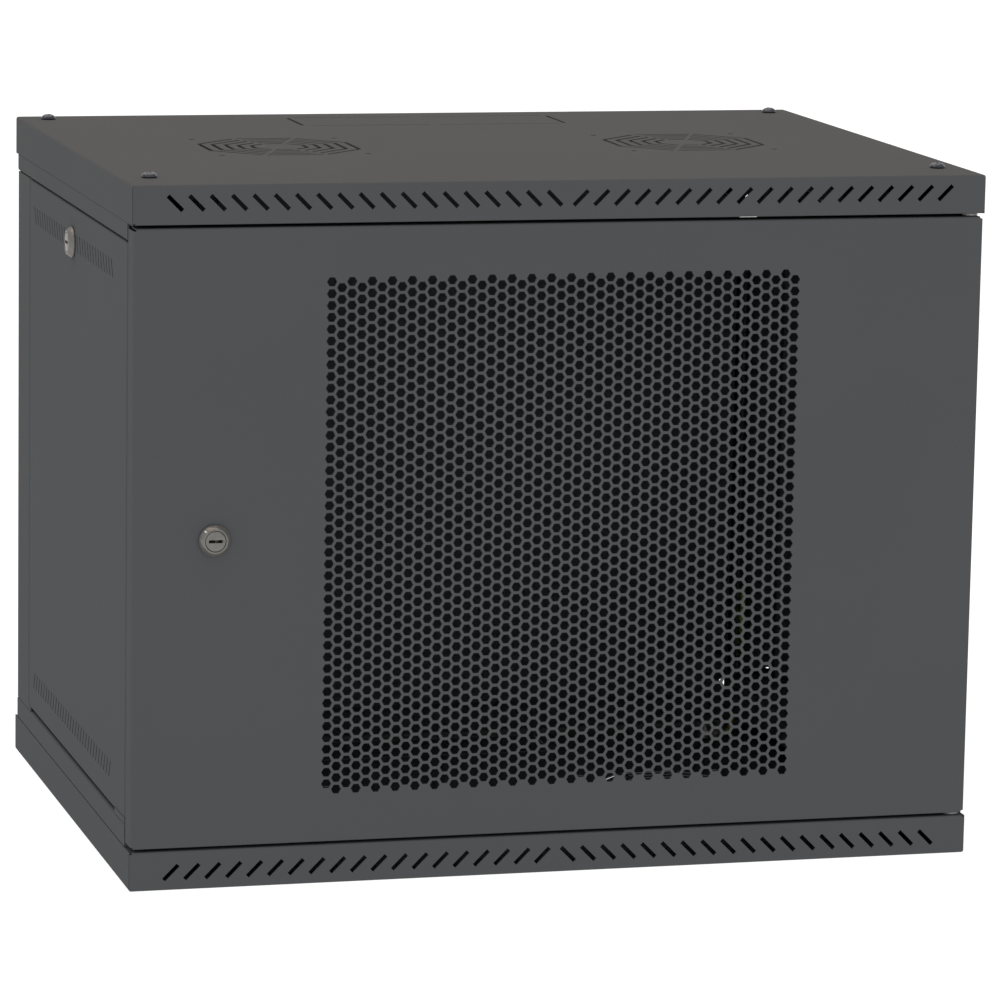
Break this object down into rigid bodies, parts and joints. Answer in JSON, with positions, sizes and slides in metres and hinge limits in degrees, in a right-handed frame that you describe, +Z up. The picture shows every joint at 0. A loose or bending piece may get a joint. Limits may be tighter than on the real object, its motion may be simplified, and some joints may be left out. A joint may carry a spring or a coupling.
{
  "type": "network server rack cabinet",
  "caption": "Wall-mounted 19-inch network cabinet: perforated hinged door with cam lock, locking lift-off sides, vented covers, adjustable equipment rails.",
  "frame": {"origin": "on the floor under the middle of the cabinet's body", "axes": "+X to the right seen from the front, -Y out of the door, +Z up"},
  "size_m": [0.609, 0.4547, 0.4855],
  "materials": {
    "paint": "fine-textured grey powder coat",
    "zinc": "bright zinc plate",
    "nickel": "satin nickel plate",
    "dark_screw": "black nickel plate, glossy",
    "spring_steel": "drawn spring wire",
    "nylon": "natural nylon",
    "earth_wire": "green and yellow PVC"
  },
  "bodies": {
    "cabinet": {"bottom_cover": "paint", "bottom_cover_screw_front_left": "dark_screw", "bottom_cover_screw_front_right": "dark_screw", "bottom_cover_screw_rear_left": "dark_screw", "bottom_cover_screw_rear_right": "dark_screw", "earth_stud_floor": "zinc", "earth_stud_rear": "zinc", "earth_wire": "earth_wire", "hinge_washer_bottom": "nylon", "rear_panel": "paint", "rear_panel_screw_high_left": "dark_screw", "rear_panel_screw_high_right": "dark_screw", "rear_panel_screw_low_left": "dark_screw", "rear_panel_screw_low_right": "dark_screw", "side_frame_left_bottom_rail": "paint", "side_frame_left_front_post": "paint", "side_frame_left_rear_post": "paint", "side_frame_left_top_rail": "paint", "side_frame_right_bottom_rail": "paint", "side_frame_right_front_post": "paint", "side_frame_right_rear_post": "paint", "side_frame_right_top_rail": "paint", "side_lock_left_keeper": "paint", "side_lock_right_keeper": "paint", "top_cover": "paint", "top_cover_screw_front_left": "dark_screw", "top_cover_screw_front_right": "dark_screw", "top_cover_screw_rear_left": "dark_screw", "top_cover_screw_rear_right": "dark_screw"},
    "door": {"door_sheet": "paint", "door_stiffener_left": "paint", "door_stiffener_right": "paint", "hinge_bracket_top": "zinc", "hinge_bracket_bottom": "zinc", "hinge_pin_bottom": "zinc", "hinge_washer_top": "nylon", "hinge_spring": "spring_steel", "door_lock_housing": "nickel", "door_lock_nut": "zinc"},
    "hinge_pin": {"hinge_pin_top": "zinc"},
    "door_lock": {"door_lock_plug": "nickel", "door_lock_cam": "zinc", "door_lock_cam_screw": "zinc"},
    "side_panel_left": {"side_panel_left": "paint", "side_lock_left_housing": "nickel", "side_lock_left_nut": "zinc"},
    "side_lock_left": {"side_lock_left_plug": "nickel", "side_lock_left_cam": "zinc"},
    "rack_rail_left": {"rack_rail_left": "zinc", "rack_rail_left_bolt_low": "zinc", "rack_rail_left_bolt_high": "zinc"},
    "side_panel_right": {"side_panel_right": "paint", "side_lock_right_housing": "nickel", "side_lock_right_nut": "zinc"},
    "side_lock_right": {"side_lock_right_plug": "nickel", "side_lock_right_cam": "zinc"},
    "rack_rail_right": {"rack_rail_right": "zinc", "rack_rail_right_bolt_low": "zinc", "rack_rail_right_bolt_high": "zinc"}
  },
  "joints": [
    {"name": "door_hinge", "type": "hinge", "parent": "cabinet", "child": "door", "pos_m": [0.292, -0.2165, 0.2407], "axis": [0, 0, 1], "range_deg": [0, 180]},
    {"name": "hinge_pin_slide", "type": "slide", "parent": "door", "child": "hinge_pin", "axis": [0, 0, 1], "range_m": [-0.008, 0], "stiffness_N_per_m": 800, "springref_m": 0.01, "deforming": ["hinge_spring"]},
    {"name": "door_lock_turn", "type": "hinge", "parent": "door", "child": "door_lock", "pos_m": [-0.2426, -0.225, 0.2407], "axis": [0, 1, 0], "range_deg": [0, 90]},
    {"name": "side_panel_left_pull", "type": "slide", "parent": "cabinet", "child": "side_panel_left", "axis": [-1, 0, 0], "range_m": [0, 0.08]},
    {"name": "side_lock_left_turn", "type": "hinge", "parent": "side_panel_left", "child": "side_lock_left", "pos_m": [-0.2998, -0.007, 0.4165], "axis": [1, 0, 0], "range_deg": [0, 90]},
    {"name": "side_panel_right_pull", "type": "slide", "parent": "cabinet", "child": "side_panel_right", "axis": [1, 0, 0], "range_m": [0, 0.08]},
    {"name": "side_lock_right_turn", "type": "hinge", "parent": "side_panel_right", "child": "side_lock_right", "pos_m": [0.2998, -0.007, 0.4165], "axis": [1, 0, 0], "range_deg": [0, 90]},
    {"name": "rack_rail_left_depth", "type": "slide", "parent": "cabinet", "child": "rack_rail_left", "axis": [0, 1, 0], "range_m": [-0.04, 0.06]},
    {"name": "rack_rail_right_depth", "type": "slide", "parent": "cabinet", "child": "rack_rail_right", "axis": [0, 1, 0], "range_m": [-0.04, 0.06]}
  ],
  "couplings": [
    {"joint": "rack_rail_right_depth", "follows": "rack_rail_left_depth", "ratio": 1}
  ]
}
